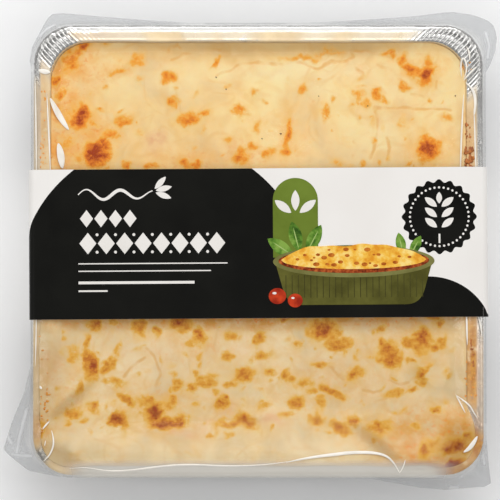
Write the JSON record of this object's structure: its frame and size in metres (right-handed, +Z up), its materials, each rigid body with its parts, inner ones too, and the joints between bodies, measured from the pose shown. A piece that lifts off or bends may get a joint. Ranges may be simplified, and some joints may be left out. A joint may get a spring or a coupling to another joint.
{
  "type": "foil tray meal",
  "caption": "Lasagne in a square foil tray, sealed in a clear film bag with pinched corner ears and held by a printed board sleeve.",
  "frame": {"origin": "on the resting plane, under the middle of the tray", "axes": "+Z up; +X along the sleeve, to the right of someone reading it; +Y away from them"},
  "size_m": [0.2412, 0.2326, 0.0433],
  "materials": {
    "foil": "bright rolled foil, creased",
    "lasagne": "set white sauce and cheese, browned in spots, moist",
    "clear_film": "clear glossy film",
    "sleeve_board": "coated paperboard, satin, printed black and off-white"
  },
  "bodies": {
    "root": {"foil_tray": "foil", "lasagne": "lasagne", "film_bag": "clear_film", "sleeve": "sleeve_board"}
  },
  "joints": []
}
